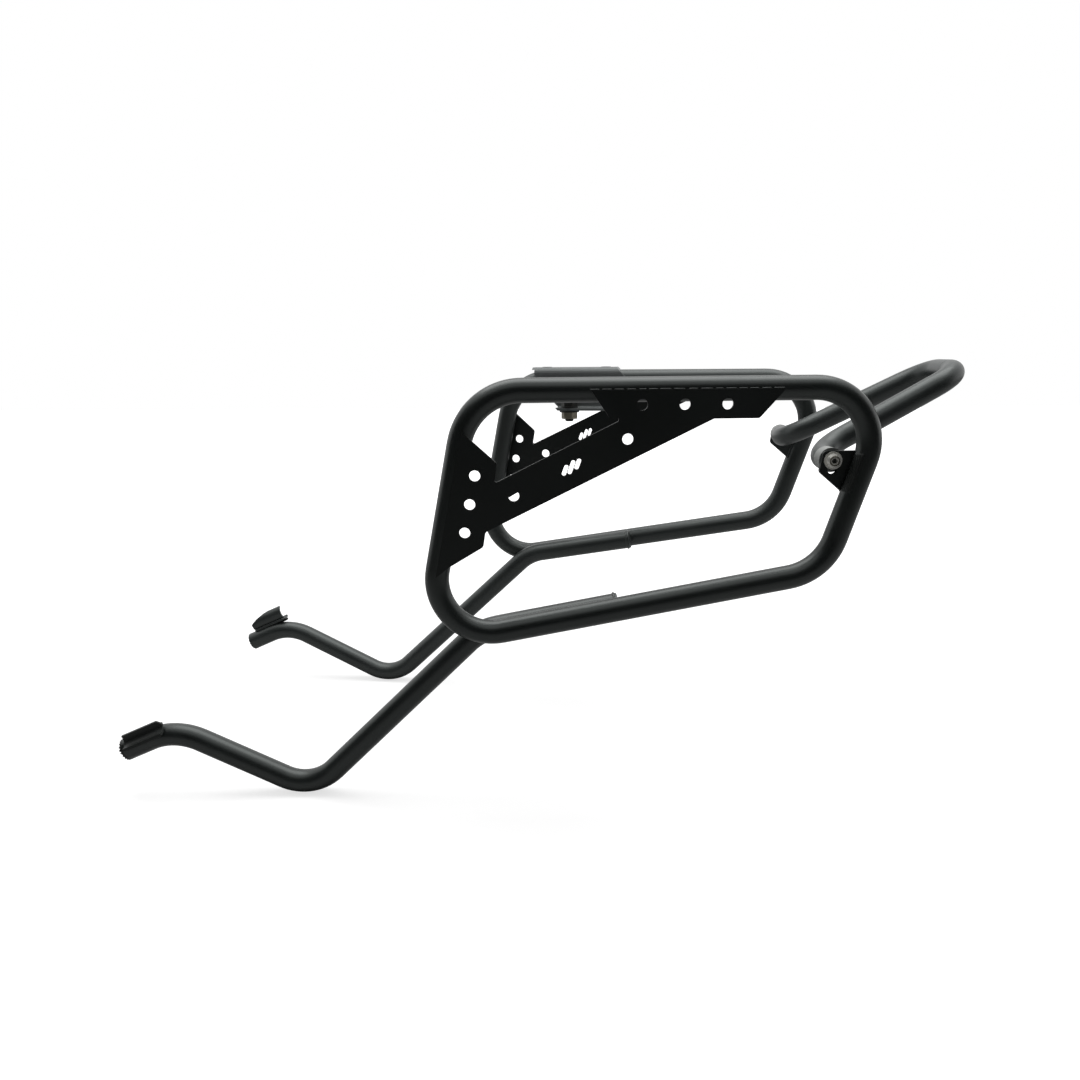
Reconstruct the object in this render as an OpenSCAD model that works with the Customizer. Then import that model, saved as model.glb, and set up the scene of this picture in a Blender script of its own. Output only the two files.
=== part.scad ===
// Welded tube pannier frame for a motorcycle: two side loops with gusset plates,
// two forward legs ending in saddles, a bolted rear hoop and a folded top bracket.
// X points to the rear of the motorcycle, Y to its right side and Z up.

/* [Tube] */
// Outside diameter of every frame tube
tube_d = 22.2; // [19:0.1:24]
// Wall of every frame tube
tube_wall = 2; // [1.5:0.1:2.5]
// Clearance left between two welded or stacked pieces
seam = 0.1; // [0.05:0.05:0.2]

/* [Side loops] */
// Distance between the loop centrelines at their front upper corners
loop_spacing = 349.6; // [320:1:380]
// Angle at which each loop runs inwards towards the rear
toe = 6.2; // [3:0.1:8]
// Length of the loop along its top, corner to corner
loop_top = 376.5; // [350:1:400]
// Height of the front post
front_h = 233; // [215:1:250]
// How far the front post's foot lies ahead of its head
front_rake = 46; // [40:1:55]
// Height of the rear post
rear_h = 167; // [155:1:180]
// How far the rear post's foot lies ahead of its head
rear_rake = 54.5; // [45:1:60]
// Centreline bend radius of the front upper corner
front_top_r = 57; // [50:1:62]
// Centreline bend radius of the rear upper corner
rear_top_r = 50; // [44:1:54]
// Centreline bend radius of the rear lower corner
rear_foot_r = 53; // [50:1:60]
// Centreline bend radius of the front lower corner
front_foot_r = 50; // [48:1:60]

/* [Gusset plates] */
// Thickness of the gusset plate
plate_t = 3; // [2:0.5:4]
// Start of the plate along the top tube
plate_top_start = 107; // [100:1:112]
// End of the plate along the top tube
plate_top_end = 277; // [270:1:290]
// Drop of the plate's upper flange below the top tube's centreline
flange_drop = 25.5; // [23:0.5:28]
// Distance down the front post at which the plate starts
plate_post_start = 34; // [30:1:42]
// Distance down the front post at which the plate ends
plate_post_end = 165; // [158:1:170]
// Width of the plate's foot across the front post's centreline
foot_w = 37.5; // [36:0.5:42]
// Width of the sloping brace
brace_w = 35.4; // [34:0.2:38]
// Slope of the brace
brace_slope = 26; // [25:0.5:27]
// Place along the top where the brace's lower edge meets the flange
brace_start = 214.6; // [212:0.2:222]
// Diameter of the round holes in the plate
plate_hole_d = 9.9; // [8:0.1:12]
// Spacing of the holes down the front post
post_hole_gap = 25.5; // [22:0.5:28]
// Spacing of the holes along the top tube
top_hole_gap = 37.4; // [34:0.1:40]
// Spacing of the two holes in the brace
brace_hole_gap = 112; // [108:1:116]
// Length by which the plate's front edge slopes under the top tube
plate_front_cut = 16; // [14:0.5:18]
// Distance of the post holes behind the front post's centreline
post_hole_in = 19.1; // [18:0.1:22]
// Depth of the first post hole down the front post
post_hole_first = 73.3; // [70:0.1:76]
// Place of the first hole along the top tube
top_hole_first = 151.6; // [150:0.1:156]
// Distance of the first brace hole down the slope from the flange
brace_hole_first = 187.1; // [184:0.1:190]
// Distance of the vent's middle down the slope from the flange
vent_place = 130.1; // [126:0.1:132]
// Spacing of the slots in the vent
vent_gap = 6.2; // [6:0.1:8]
// Tilt of the slots in the vent
vent_tilt = 20; // [15:1:25]
// Rounding of the plate's corners
plate_corner_r = 4; // [2:0.5:6]
// Width of each slot in the vent pattern
vent_w = 4; // [3:0.5:5]
// Length of the middle slot in the vent pattern
vent_l = 13; // [12:1:18]
// Length by which each outer slot is shorter at either end
vent_step = 1.5; // [0.5:0.5:2.5]
// Height of the slanted corner above the brace's upper edge
foot_rise_h = 17.5; // [15:0.5:20]
// Reach of that corner along the loop
foot_rise_u = 3; // [1:0.5:5]
// Depth of the notched corner below the brace's lower edge
foot_fall_h = 13.5; // [11:0.5:16]
// Reach of that corner ahead of the brace's lower edge
foot_fall_u = 2.1; // [2:0.1:5]
// Depth of the plate's lowest corner below the brace's lower edge
foot_toe_h = 32; // [28:1:36]
// Reach of the plate's lowest corner ahead of the brace's lower edge
foot_toe_u = 33.5; // [32:0.5:37]
// How far the right plate sits ahead of the left plate's place
right_plate_ahead = 1.1; // [0:0.1:3]
// How far the right plate sits below the left plate's place
right_plate_low = 2.8; // [0:0.1:4]

/* [Legs] */
// Lead of the left leg's front end ahead of the front upper corner
left_reach = 354.2; // [345:0.1:380]
// Lead of the right leg's front end ahead of the front upper corner
right_reach = 361; // [345:0.1:380]
// Depth of the left leg's front end
left_end_drop = 351.4; // [340:0.1:360]
// Depth of the right leg's front end
right_end_drop = 348.5; // [340:0.1:360]
// Length of the sloping end run that carries the saddle
leg_end_run = 51.6; // [46:0.1:58]
// Rise of the sloping end run
leg_end_rise = 23; // [18:0.5:28]
// Distance of the left leg's low bend ahead of the front upper corner
left_low_lead = 169.3; // [155:0.1:180]
// Distance of the right leg's low bend ahead of the front upper corner
right_low_lead = 166.3; // [155:0.1:180]
// Depth of the low bend
leg_low_drop = 393; // [380:1:405]
// Half width between the legs at their front ends
leg_end_y = 167; // [160:1:175]
// Half width between the legs at their low bends
leg_low_y = 158; // [152:1:165]
// Place of the left leg's knee along its loop
left_knee = 4.5; // [-5:1:12]
// Place of the right leg's knee along its loop
right_knee = 22; // [8:1:26]
// Place of the left leg's closed end along its loop
left_end = 133; // [120:1:150]
// Place of the right leg's closed end along its loop
right_end = 147; // [130:1:160]
// Height of the left leg's upper run above its loop's foot tube
left_lift = -2; // [-6:0.5:6]
// Height of the right leg's upper run above its loop's foot tube
right_lift = 2; // [-6:0.5:6]
// Bend radius behind the saddle
leg_front_r = 60; // [50:1:70]
// Bend radius of the low bend
leg_low_r = 45; // [38:1:52]
// Bend radius of the knee
leg_knee_r = 55; // [45:1:65]
// Thickness of the rounded cap that closes the leg's upper end
cap_t = 3; // [2:0.5:4]
// Rounding of the cap's rim
cap_round = 1.2; // [0.8:0.1:1.6]

/* [Saddles] */
// Diameter of the rail that the saddle holds
rail_d = 16; // [14:0.1:18]
// Sheet thickness of the saddle
saddle_t = 2.2; // [1.8:0.1:3]
// Length of the saddle along the leg's end run
saddle_l = 45; // [38:1:46]
// Distance that the left leg's sawn end stands out past its saddle
left_saddle_back = 6.3; // [4:0.1:12]
// Distance that the right leg's sawn end stands out past its saddle
right_saddle_back = 10.5; // [4:0.1:12]
// How far the saddle's outer edge wraps round the rail, from its weld
saddle_wrap = 58; // [50:1:70]
// How far the left saddle's lip wraps round the rail, from its weld
left_lip_wrap = 58; // [50:1:120]
// How far the right saddle's lip wraps round the rail, from its weld
right_lip_wrap = 150; // [50:1:160]
// Angle of the left rail's axis above the outboard direction
left_saddle_angle = 38; // [30:1:70]
// Angle of the right rail's axis above the outboard direction
right_saddle_angle = 75; // [30:1:80]
// Distance behind the leg's sawn end at which the left saddle's slanted rear cut starts
left_cut_start = 43.5; // [40:0.5:46]
// Height above the leg's axis at which the left saddle's slanted rear cut starts
left_cut_top = 19; // [16:1:22]
// Height above the leg's axis at which that cut ends
left_cut_low = 8; // [5:1:11]
// Height above the leg's axis at which the right saddle's curved front cut starts
right_cut_low = 14; // [12:1:16]
// Height of the right saddle's curved front cut
right_cut_h = 17; // [14:1:20]
// Length of the right saddle's curved front cut
right_cut_l = 48; // [40:1:50]
// Distance of that cut's start behind the leg's sawn end
right_cut_start = 6; // [2:0.5:8]
// Depth by which the saddle is notched over the leg tube
saddle_sink = 0.8; // [0.5:0.1:1]

/* [Rear tabs] */
// Thickness of the rear tab
tab_t = 4; // [3:0.5:5]
// Distance of the tab's middle inboard of the loop's middle plane
tab_in = 4; // [2:0.5:5]
// Distance of the tab's bolt ahead of the loop's rear upper corner
bolt_ahead = 50.1; // [45:0.1:53]
// Depth of the tab's bolt below the top tube
bolt_drop = 65.3; // [62:0.1:68]
// Height of the tab above its bolt
tab_up = 8.6; // [7.5:0.1:10]
// Reach of the tab ahead of its bolt
tab_front = 11.6; // [10:0.1:13]
// Depth of the tab's lower corner below its bolt
tab_down = 27; // [25:0.5:30]
// Reach of the tab's lower corner behind its bolt
tab_low_u = 7.6; // [6:0.1:9]
// Reach of the tab behind its bolt, to the rear post's centreline
tab_back = 24; // [20:1:26]
// Length by which the tab's upper front corner is cut
tab_nose_cut = 3; // [2:0.5:4]
// Depth of the tab's lower front corner below its bolt
tab_nose_low = 10.5; // [5:0.5:12]
// Rounding of the tab's front corners
tab_nose_r = 4; // [2:0.5:5]
// Length of the upright slot in the tab
tab_slot_l = 17; // [12:0.5:18]
// Distance of the slot's middle below the bolt
tab_slot_drop = 4; // [0:0.5:4]

/* [Rear hoop] */
// Upward tilt of the hoop
hoop_tilt = 29.2; // [25:0.1:35]
// Reach of the hoop's cross run behind the tab bolts, along its tilt
hoop_reach = 155.8; // [140:1:170]
// Half width of the hoop's arms at the cross run
hoop_rear_y = 46.5; // [42:1:52]
// Half width of the hoop's arms at the tab bolts
hoop_front_y = 77.5; // [68:0.5:80]
// How far the hoop's middle lies to the left of the frame's
hoop_shift = 6; // [0:0.5:8]
// Bend radius of the two front corners
hoop_front_r = 37; // [28:1:37]
// Bend radius of the two rear corners
hoop_rear_r = 36; // [32:1:40]
// Length of the plug's spigot in each end of the hoop
plug_l = 6; // [4:0.5:8]
// Play of the spigot in the hoop's bore, all round
spigot_play = 0.6; // [0.5:0.1:0.8]
// Length of the plug's bare collar between the tab and the hoop
collar_l = 15; // [12:0.5:18]

/* [Fasteners] */
// Thread diameter of the tab bolts
tab_bolt_d = 8; // [6:1:8]
// Head diameter of the tab bolts
tab_head_d = 13; // [11:0.5:14]
// Diameter of the flat crown of a tab bolt's head
tab_crown_d = 8.8; // [8:0.1:10]
// Head height of the tab bolts
tab_head_h = 4.4; // [3.5:0.1:5]
// Outside diameter of the tab washers
tab_washer_d = 16.2; // [15:0.1:18]
// Thickness of the tab washers
tab_washer_t = 1.6; // [1.2:0.1:2]
// Width across flats of the hexagon socket in a tab bolt
socket_af = 5; // [4:0.5:5]
// Length of the tab bolts under the head
tab_bolt_l = 24; // [20:1:28]
// Thread diameter of the bracket bolt
hang_bolt_d = 10; // [8:1:10]
// Width across flats of the bracket bolt's head and nut
hang_af = 17; // [16:0.5:18]
// Height of the bracket bolt's head
hang_head_h = 6.4; // [5.5:0.1:7]
// Height of the bracket nut
hang_nut_h = 8; // [7:0.5:9]
// Outside diameter of the washer under the bracket bolt's head
hang_washer_d = 21; // [19:0.5:22]
// Outside diameter of the washer on the bracket nut
nut_washer_d = 24; // [19:0.5:25]
// Thickness of the bracket washers
hang_washer_t = 2; // [1.5:0.1:2.5]
// Thread left showing below the bracket nut
hang_tip = 3; // [2:0.5:5]

/* [Top bracket] */
// Sheet thickness of the top bracket
bracket_t = 3; // [2.5:0.5:3.5]
// Outside bend radius of the bracket's upper flange
bracket_bend = 8.5; // [5:0.5:9]
// Inside bend radius of the bracket's lower flange
shelf_bend = 2; // [1:0.5:4]
// Start of the bracket's upper flange along the right loop
bracket_start = 26; // [22:1:30]
// Length of the bracket's upper flange
bracket_l = 104; // [98:1:110]
// Width of the bracket's upper flange
bracket_w = 26; // [24:1:32]
// Depth of the bracket's lower flange below the top tube's centreline
bracket_drop = 37; // [34:1:40]
// Width of the bracket's lower flange
lower_w = 26; // [24:1:30]
// Length by which the web's rear edge slopes outwards
bracket_flare = 11; // [8:1:14]
// Length by which the web's front edge slopes inwards
bracket_taper = 26; // [14:1:28]
// Chamfer at the two ends of the web's folded lower edge
shelf_cut = 7; // [5:0.5:9]
// Place of the bracket bolt along the right loop
hang_u = 75; // [66:0.5:80]
// Diameter of the two holes in the upper flange
bracket_hole_d = 11; // [9:0.1:11]
// Spacing of the two holes in the upper flange
bracket_hole_gap = 73.5; // [68:0.5:78]

/* [Hidden] */
$fn = 72;
left = -1;
right = 1;
tube_r = tube_d / 2;
bore_r = tube_r - tube_wall;
bolt_play = 0.25;
bend_lap = 1;
bend_draw = 0.05;
coat_black = "#1c1e1e";
plate_black = "#141615";
steel_bright = "#c9c8c3";
zinc = "#b3aa8c";
bracket_grey = "#3a3c3c";

// Vectors and rounded outlines
function unit(v) = v / norm(v);
function turn(a, b) = acos(max(-1, min(1, unit(a) * unit(b))));
function flat(p) = [p[0], p[1], 0];
function corner_arc(p, v, n, r) = let(
        d1 = unit(v - p), d2 = unit(n - v), t = turn(flat(d1), flat(d2)),
        cut = r * tan(t / 2), a = v - d1 * cut, side = sign(d1[0] * d2[1] - d1[1] * d2[0]),
        c = a + side * r * [-d1[1], d1[0]], start = atan2(a[1] - c[1], a[0] - c[0]), steps = 6)
    [for (i = [0:steps]) c + r * [cos(start + side * t * i / steps), sin(start + side * t * i / steps)]];
function rounded(pts, radii) = let(n = len(pts))
    [for (i = [0:n - 1])
        each radii[i] > 0 ? corner_arc(pts[(i + n - 1) % n], pts[i], pts[(i + 1) % n], radii[i]) : [pts[i]]];

// Loop corners in the loop's own plane: along the loop, then up
corner_ft = [0, 0];
corner_rt = [loop_top, 0];
corner_rf = [loop_top - rear_rake, -rear_h];
corner_ff = [-front_rake, -front_h];
post_dir = unit(corner_ff - corner_ft);
foot_slope = (corner_rf[1] - corner_ff[1]) / (corner_rf[0] - corner_ff[0]);
function foot_z(u) = corner_ff[1] + foot_slope * (u - corner_ff[0]);
// A point of a loop's plane in the frame's axes: along, outboard, up, side
function at_loop(u, o, z, side) = [u * cos(toe) + o * sin(toe),
    side * (loop_spacing / 2 - u * sin(toe) + o * cos(toe)), z];

// Leg path on one side
leg_in = tube_d + seam * 2;
function leg_path(side) = let(
        reach = side == left ? left_reach : right_reach,
        drop = side == left ? left_end_drop : right_end_drop,
        lead = side == left ? left_low_lead : right_low_lead,
        knee = side == left ? left_knee : right_knee,
        last = side == left ? left_end : right_end,
        lift = side == left ? left_lift : right_lift)
    [[-reach, side * leg_end_y, -drop],
     [leg_end_run - reach, side * leg_end_y, leg_end_rise - drop],
     [-lead, side * leg_low_y, -leg_low_drop],
     at_loop(knee, -leg_in, foot_z(knee) + lift, side),
     at_loop(last, -leg_in, foot_z(last) + lift, side)];
leg_radii = [leg_front_r, leg_low_r, leg_knee_r];

// Hoop path, from the left tab to the right tab
tab_face_in = tab_in + tab_t / 2;
hoop_face = tab_face_in + collar_l + seam * 2;
bolt_u = loop_top - bolt_ahead;
function hoop_point(s, y, side) =
    [hoop_base[0] + s * cos(hoop_tilt), side * y - hoop_shift, hoop_base[2] + s * sin(hoop_tilt)];
hoop_base = at_loop(bolt_u, -tab_face_in, -bolt_drop, right);
function hoop_end_run(side) = (hoop_base[1] - hoop_front_y + side * hoop_shift) / cos(toe);
function hoop_knee(side) = at_loop(bolt_u, -tab_face_in - hoop_end_run(side), -bolt_drop, side);
hoop_path = [at_loop(bolt_u, -hoop_face, -bolt_drop, left), hoop_knee(left),
    hoop_point(hoop_reach, hoop_rear_y, left), hoop_point(hoop_reach, hoop_rear_y, right),
    hoop_knee(right), at_loop(bolt_u, -hoop_face, -bolt_drop, right)];
hoop_radii = [hoop_front_r, hoop_rear_r, hoop_rear_r, hoop_front_r];

// The frame's origin is the middle of the box round the whole part
end_slope = atan2(leg_end_rise, leg_end_run);
function low_centre_z() = let(p = leg_path(right), d1 = unit(p[2] - p[1]), d2 = unit(p[3] - p[2]),
    t = turn(d1, d2), a = p[2] - d1 * leg_low_r * tan(t / 2), n = unit(d2 - (d1 * d2) * d1))
    (a + n * leg_low_r)[2];
box_rear = hoop_base[0] + hoop_reach * cos(hoop_tilt) + tube_r;
box_front = -right_reach - tube_r * sin(end_slope);
box_top = hoop_base[2] + hoop_reach * sin(hoop_tilt) + tube_r;
box_low = low_centre_z() - leg_low_r - tube_r;
middle = [(box_rear + box_front) / 2, 0, (box_top + box_low) / 2];

// Turns the drawing's Z along the line from one point to another
module aim(from, to) {
    d = unit(to - from);
    x = norm(cross([0, 1, 0], d)) > 0.001 ? unit(cross([0, 1, 0], d)) : [1, 0, 0];
    y = cross(d, x);
    multmatrix([[x[0], y[0], d[0], from[0]], [x[1], y[1], d[1], from[1]],
        [x[2], y[2], d[2], from[2]], [0, 0, 0, 1]]) children();
}
// Turns the drawing's Z along one direction and its X towards another
module frame_on(p, z, x) {
    y = cross(z, x);
    multmatrix([[x[0], y[0], z[0], p[0]], [x[1], y[1], z[1], p[1]],
        [x[2], y[2], z[2], p[2]], [0, 0, 0, 1]]) children();
}
function side_of(d1, d2) = unit(d2 - (d1 * d2) * d1);
// A straight stretch of bar or tube along Z
module straight(l, r, hole) {
    difference() {
        cylinder(r = r, h = l);
        if (hole > 0) translate([0, 0, -1]) cylinder(r = hole, h = l + 2);
    }
}
// A bent stretch that starts along Z and turns towards X; it is drawn slightly slimmer
// and reaches a little way into the straight stretches at its two ends
module elbow(bend_r, t, r, hole) {
    lap = bend_lap / bend_r * 180 / PI;
    translate([bend_r, 0, 0]) rotate([90, 0, 0]) mirror([1, 0, 0]) rotate([0, 0, -lap])
        rotate_extrude(angle = t + lap * 2) translate([bend_r, 0]) difference() {
            circle(r = r - bend_draw);
            if (hole > 0) circle(r = hole + bend_draw);
        }
}
// The rest of a tube from its given run on, each stretch starting where the last one ends
module tube_from(dirs, runs, radii, r, hole, i) {
    straight(runs[i], r, hole);
    if (i < len(radii)) translate([0, 0, runs[i]]) {
        t = turn(dirs[i], dirs[i + 1]);
        elbow(radii[i], t, r, hole);
        if (i + 1 < len(runs)) {
            x = side_of(dirs[i], dirs[i + 1]) * cos(t) - dirs[i] * sin(t);
            m = i + 1 < len(radii) ? side_of(dirs[i + 1], dirs[i + 2]) : x;
            roll = atan2(cross(x, m) * dirs[i + 1], x * m);
            translate([radii[i], 0, 0]) rotate([0, t, 0]) translate([-radii[i], 0, 0])
                rotate([0, 0, roll]) tube_from(dirs, runs, radii, r, hole, i + 1);
        }
    }
}
// A bar or tube along a path with bent corners, with one radius for each corner
module bent_tube(path, radii, r, hole) {
    n = len(path);
    dirs = [for (i = [0:n - 2]) unit(path[i + 1] - path[i])];
    cuts = [0, for (i = [1:n - 2]) radii[i - 1] * tan(turn(dirs[i - 1], dirs[i]) / 2), 0];
    runs = [for (i = [0:n - 2]) norm(path[i + 1] - path[i]) - cuts[i] - cuts[i + 1]];
    frame_on(path[0], dirs[0], side_of(dirs[0], dirs[1])) tube_from(dirs, runs, radii, r, hole, 0);
}
// A closed ring of bar or tube through corner points, with one radius for each corner
module bent_ring(pts, radii, r, hole) {
    n = len(pts);
    dirs = [for (i = [0:n]) unit(pts[i % n] - pts[(i + n - 1) % n])];
    cuts = [for (i = [0:n - 1]) radii[i] * tan(turn(dirs[i], dirs[i + 1]) / 2)];
    runs = [for (i = [0:n - 1]) norm(pts[i] - pts[(i + n - 1) % n]) - cuts[i] - cuts[(i + n - 1) % n]];
    frame_on(pts[n - 1] + dirs[0] * cuts[n - 1], dirs[0], side_of(dirs[0], dirs[1]))
        tube_from(dirs, runs, radii, r, hole, 0);
}
// Puts the drawing into a loop's plane: X along it, Y outboard, Z up
module on_loop(side) {
    mirror([0, side == left ? 1 : 0, 0])
        translate([0, loop_spacing / 2, 0])
            rotate([0, 0, -toe])
                children();
}
// A plate outline drawn in along and up, standing in the loop's plane
module standing(from_out, thick) {
    translate([0, from_out + thick, 0]) rotate([90, 0, 0]) linear_extrude(height = thick) children();
}

// Closed loop of one bent tube
loop_corners = [for (p = [corner_ff, corner_ft, corner_rt, corner_rf]) [p[0], 0, p[1]]];
loop_radii = [front_foot_r, front_top_r, rear_top_r, rear_foot_r];
module loop_tube(side) {
    color(coat_black) on_loop(side) bent_ring(loop_corners, loop_radii, tube_r, bore_r);
}

// Outline of the gusset plate, with the brace's edges as two parallel slopes
brace_dir = [cos(brace_slope), sin(brace_slope)];
brace_up = [-sin(brace_slope), cos(brace_slope)];
brace_foot = [brace_start, -flange_drop];
function on_post(down) = [post_dir[0] / -post_dir[1] * down, -down];
function brace_at_height(z, across) = let(base = brace_foot + brace_up * across)
    base + brace_dir * ((z - base[1]) / brace_dir[1]);
function brace_at_foot(across) = let(base = brace_foot + brace_up * across,
        edge = on_post(0) + [foot_w, 0], k = post_dir[0] / post_dir[1],
        t = (edge[0] + k * base[1] - base[0]) / (brace_dir[0] - k * brace_dir[1]))
    base + brace_dir * t;
plate_chamfer = flange_drop - plate_t;
flange_low = -flange_drop + 2;
foot_top = brace_at_foot(brace_w);
foot_low = brace_at_foot(0);
foot_rise = [foot_rise_u, foot_rise_h];
foot_fall = [-foot_fall_u, -foot_fall_h];
foot_toe = [-foot_toe_u, -foot_toe_h];
plate_outline = rounded([
        [plate_top_start, 0], [plate_top_start + plate_front_cut, flange_low],
        brace_at_height(flange_low, brace_w), foot_top,
        foot_top + foot_rise, on_post(plate_post_start),
        on_post(plate_post_end), foot_low + foot_toe, foot_low + foot_fall, foot_low,
        brace_foot, [plate_top_end - plate_chamfer, -flange_drop], [plate_top_end, 0]],
    [0, 1, 2, 1.5, plate_corner_r, 0, 0, 1, plate_corner_r, plate_corner_r, 1, plate_corner_r, 0]);
plate_out = tube_r + seam;
post_hole = [post_hole_in, 0];
brace_hole = brace_foot + brace_up * brace_w / 2;
function post_hole_at(i) = post_hole + on_post(post_hole_first + i * post_hole_gap);
function brace_hole_at(i) = brace_hole + brace_dir * (i * brace_hole_gap - brace_hole_first);
function top_hole_at(i) = [top_hole_first + i * top_hole_gap, -flange_drop / 2];
vent_mid = brace_hole - brace_dir * vent_place;
module gusset_plate(side) {
    place = side == right ? [-right_plate_ahead, 0, -right_plate_low] : [0, 0, 0];
    color(plate_black) on_loop(side) translate(place)
        plate_blank();
}
module plate_blank() {
    difference() {
        standing(plate_out, plate_t) polygon(plate_outline);
        for (i = [0:2]) {
            plate_hole(post_hole_at(i));
            plate_hole(top_hole_at(i));
        }
        for (i = [0:1]) plate_hole(brace_hole_at(i));
        for (i = [-1:1]) vent_slot(i);
    }
}
module plate_hole(p) {
    translate([p[0], plate_out - 1, p[1]]) rotate([-90, 0, 0]) cylinder(d = plate_hole_d, h = plate_t + 2);
}
module vent_slot(i) {
    half = vent_l / 2 - vent_w / 2 - abs(i) * vent_step;
    c = vent_mid + brace_dir * i * vent_gap;
    translate([c[0], plate_out - 1, c[1]]) rotate([0, vent_tilt, 0]) {
        translate([-vent_w / 2, 0, -half]) cube([vent_w, plate_t + 2, half * 2]);
        for (e = [-half, half])
            translate([0, 0, e]) rotate([-90, 0, 0]) cylinder(d = vent_w, h = plate_t + 2);
    }
}

module leg_tube(side) {
    color(coat_black) bent_tube(leg_path(side), leg_radii, tube_r, bore_r);
}
// Rounded cap that closes the upper end of a leg
module leg_cap(side) {
    p = leg_path(side);
    d = unit(p[4] - p[3]);
    color(coat_black) aim(p[4] + d * seam, p[4] + d) {
        cylinder(r = tube_r, h = cap_t - cap_round);
        cylinder(r = tube_r - cap_round, h = cap_t);
        translate([0, 0, cap_t - cap_round])
            rotate_extrude() translate([tube_r - cap_round, 0]) circle(r = cap_round);
    }
}

function flip(p, side) = [p[0], side * p[1], p[2]];
// Axes at the saddle: Z along the leg's end run, X upwards, Y outboard on the right
module on_leg_end(side) {
    p = leg_path(side);
    mirror([0, side == left ? 1 : 0, 0])
        aim(flip(p[0], side), flip(p[1], side)) rotate([0, 0, 180]) children();
}
// Outlines cut from a saddle, as height above the leg's axis and distance along it
trim_top = 40;
left_trim = [[left_cut_top, left_cut_start], [left_cut_low, left_cut_start + left_cut_top - left_cut_low],
    [left_cut_low, 2 * saddle_l], [trim_top, 2 * saddle_l], [trim_top, left_cut_start]];
right_trim = [[trim_top, 0], [right_cut_low, 0],
    each [for (t = [0:15:90])
        [right_cut_low + right_cut_h * sin(t), right_cut_start + right_cut_l * (1 - cos(t))]],
    [trim_top, right_cut_start + right_cut_l]];
module saddle(side) {
    rail = tube_r + saddle_t + rail_d / 2 - saddle_sink;
    open = 2 * rail_d;
    lip_wrap = side == left ? left_lip_wrap : right_lip_wrap;
    saddle_back = side == left ? left_saddle_back : right_saddle_back;
    edge = open * [-cos(saddle_wrap), -sin(saddle_wrap)];
    lip = open * [-cos(lip_wrap), sin(lip_wrap)];
    color(coat_black) on_leg_end(side) difference() {
        rotate([0, 0, (side == left ? left_saddle_angle : right_saddle_angle) - 90]) difference() {
            translate([rail, 0, saddle_back]) cylinder(r = rail_d / 2 + saddle_t, h = saddle_l);
            translate([rail, 0, saddle_back - 1]) cylinder(d = rail_d, h = saddle_l + 2);
            translate([rail, 0, saddle_back - 1]) linear_extrude(height = saddle_l + 2)
                polygon([[0, 0], lip, [open, open], [open, -open], edge]);
        }
        translate([0, 0, -1]) cylinder(r = tube_r + seam, h = saddle_l + saddle_back + 2);
        translate([0, open, 0]) rotate([90, 0, 0]) linear_extrude(height = 2 * open)
            polygon(side == left ? left_trim : right_trim);
    }
}

// Flat tab that carries one end of the hoop
module rear_tab(side) {
    tab_axis = [bolt_u, -bolt_drop];
    low_run = (tab_back - tab_low_u) / 2;
    outline = rounded([[tab_nose_cut - tab_front, tab_up], [-tab_front, -tab_nose_low],
            [tab_low_u, -tab_down], [tab_low_u + low_run, -tab_down - low_run],
            [tab_back, tab_up]], [tab_nose_r, tab_nose_r, 1, 0, 0]);
    color(plate_black) on_loop(side) difference() {
        standing(-tab_in - tab_t / 2, tab_t) polygon([for (p = outline) tab_axis + p]);
        bent_ring(loop_corners, loop_radii, tube_r + seam, 0);
        tab_slot();
    }
}
module tab_slot() {
    w = tab_bolt_d + bolt_play * 2;
    half = (tab_slot_l - w) / 2;
    translate([bolt_u, -tab_in - tab_t, -bolt_drop - tab_slot_drop]) {
        translate([-w / 2, 0, -half]) cube([w, tab_t * 2, half * 2]);
        for (e = [-half, half])
            translate([0, 0, e]) rotate([-90, 0, 0]) cylinder(d = w, h = tab_t * 2);
    }
}

module rear_hoop() {
    color(coat_black) bent_tube(hoop_path, hoop_radii, tube_r, bore_r);
}
// Puts the drawing on the tab bolt's axis: Z outboard, zero at the tab's inner face
module on_tab_bolt(side) {
    on_loop(side) translate([bolt_u, -tab_face_in, -bolt_drop]) rotate([-90, 0, 0]) children();
}
module hoop_plug(side) {
    color(steel_bright) on_tab_bolt(side) difference() {
        union() {
            translate([0, 0, -seam - collar_l]) cylinder(r = tube_r, h = collar_l);
            translate([0, 0, -seam - collar_l - plug_l]) cylinder(r = bore_r - spigot_play, h = plug_l + 1);
        }
        translate([0, 0, -collar_l - plug_l - 1])
            cylinder(d = tab_bolt_d + seam * 2, h = collar_l + plug_l + 2);
    }
}
module tab_bolt(side) {
    seat = tab_t + tab_washer_t + seam * 2;
    color(steel_bright) on_tab_bolt(side) difference() {
        union() {
            translate([0, 0, seat - tab_bolt_l]) cylinder(d = tab_bolt_d, h = tab_bolt_l + tab_head_h / 2);
            translate([0, 0, seat]) cylinder(d = tab_head_d, h = tab_head_h / 2);
            translate([0, 0, seat + tab_head_h / 2])
                cylinder(d1 = tab_head_d, d2 = tab_crown_d, h = tab_head_h / 2);
        }
        translate([0, 0, seat + tab_head_h / 3]) cylinder(d = socket_af / cos(30), h = tab_head_h, $fn = 6);
    }
}
module tab_washer(side) {
    color(steel_bright) on_tab_bolt(side) translate([0, 0, tab_t + seam]) difference() {
        cylinder(d = tab_washer_d, h = tab_washer_t);
        translate([0, 0, -1]) cylinder(d = tab_bolt_d + bolt_play * 2, h = tab_washer_t + 2);
    }
}

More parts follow.
